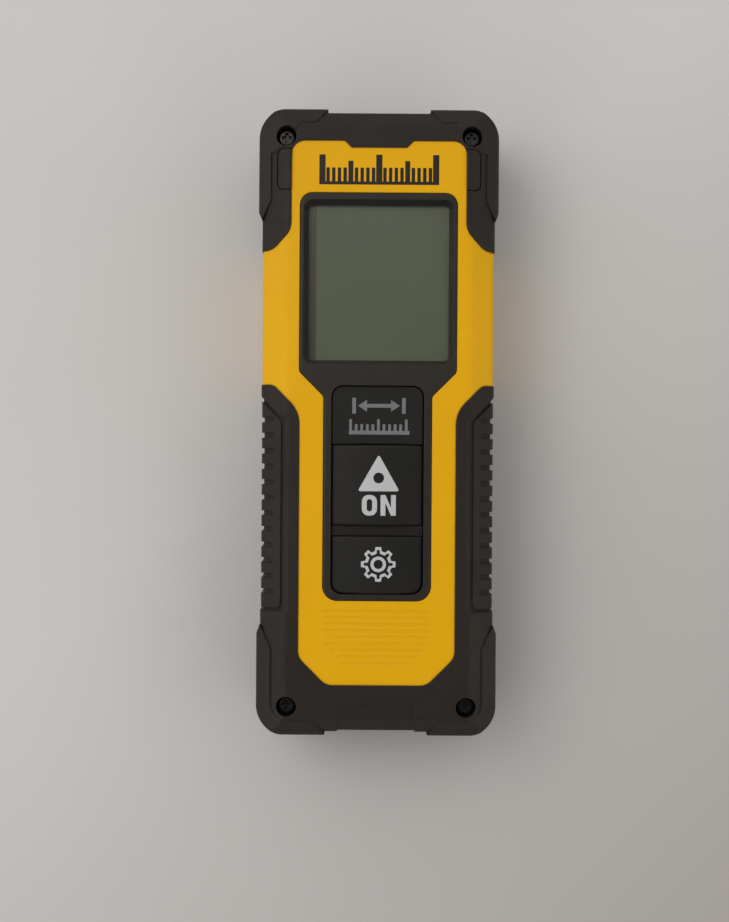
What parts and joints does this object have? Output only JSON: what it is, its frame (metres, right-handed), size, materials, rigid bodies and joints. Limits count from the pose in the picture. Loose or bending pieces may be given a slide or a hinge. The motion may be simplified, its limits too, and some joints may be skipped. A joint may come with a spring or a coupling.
{
  "type": "laser distance meter",
  "caption": "Pocket laser distance meter: yellow case with black soft overmold, recessed blank display, keypad, battery door and laser optics at the end.",
  "frame": {"origin": "middle of the back, on the surface the meter lies on", "axes": "+Z out of the display, +Y towards the laser end, +X to the right of the person reading it"},
  "size_m": [0.043, 0.1114, 0.024],
  "materials": {
    "yellow_abs": "fine moulded texture, satin",
    "black_tpe": "fine moulded texture, soft satin",
    "charcoal_abs": "fine moulded texture",
    "clear_window": "clear, polished",
    "lcd_face": "grey-green reflective display film",
    "lcd_cell": "display glass",
    "white_plastic": "plain moulded",
    "contact_rubber": "layered conductive rubber",
    "keypad_rubber": "smooth satin",
    "spring_steel": "bright",
    "board_green": "solder resist",
    "chip_black": "moulded epoxy",
    "black_screw": "black oxide, shiny",
    "zinc_screw": "zinc plated",
    "cell_can": "nickel plated",
    "cell_sleeve": "shrunk film",
    "nickel_contact": "nickel plated",
    "chassis_black": "glass-filled, matt",
    "barrel_brass": "turned",
    "lens_glass": "coated",
    "gold_flex": "polyimide film",
    "door_black": "fine moulded texture",
    "door_foam": "closed-cell foam",
    "seal_rubber": "plain",
    "label_silver": "blank film label",
    "aperture_black": "gloss"
  },
  "bodies": {
    "housing": {"front_housing": "yellow_abs", "rear_housing": "yellow_abs", "upper_overmold": "black_tpe", "lower_overmold": "black_tpe", "rear_upper_overmold": "black_tpe", "rear_lower_overmold": "black_tpe", "display_bezel": "charcoal_abs", "display_window": "clear_window", "lcd_polarizer": "lcd_face", "lcd_glass": "lcd_cell", "lcd_reflector": "white_plastic", "lcd_holder": "white_plastic", "contact_strip": "contact_rubber", "keypad_frame": "keypad_rubber", "measure_dome": "spring_steel", "settings_dome": "spring_steel", "main_board": "board_green", "board_chips": "chip_black", "board_screws": "zinc_screw", "chassis_screws": "zinc_screw", "buzzer": "chip_black", "housing_screws": "black_screw", "battery_cells": "cell_can", "cell_sleeves": "cell_sleeve", "bridge_contact": "nickel_contact", "positive_contact": "nickel_contact", "negative_contact": "nickel_contact", "contact_springs": "nickel_contact", "optics_chassis": "chassis_black", "laser_barrel": "barrel_brass", "laser_diode": "cell_can", "collimator_lens": "lens_glass", "receiver_lens": "lens_glass", "receiver_sensor": "cell_can", "receiver_board": "board_green", "receiver_flex": "gold_flex", "laser_flex": "gold_flex", "optics_bezel": "aperture_black", "optics_window": "clear_window", "housing_gasket": "seal_rubber", "blank_label": "label_silver"},
    "measure_key": {"measure_button": "keypad_rubber"},
    "settings_key": {"settings_button": "keypad_rubber"},
    "door": {"battery_door": "door_black", "door_foam": "door_foam"}
  },
  "joints": [
    {"name": "measure_press", "type": "slide", "parent": "housing", "child": "measure_key", "axis": [0, 0, -1], "range_m": [0, 0.00035], "stiffness_N_per_m": 600, "deforming": ["measure_dome"]},
    {"name": "settings_press", "type": "slide", "parent": "housing", "child": "settings_key", "axis": [0, 0, -1], "range_m": [0, 0.00035], "stiffness_N_per_m": 600, "deforming": ["settings_dome"]},
    {"name": "door_hinge", "type": "hinge", "parent": "housing", "child": "door", "pos_m": [0, -0.0503, 0.00095], "axis": [-1, 0, 0], "range_deg": [0, 95]}
  ]
}
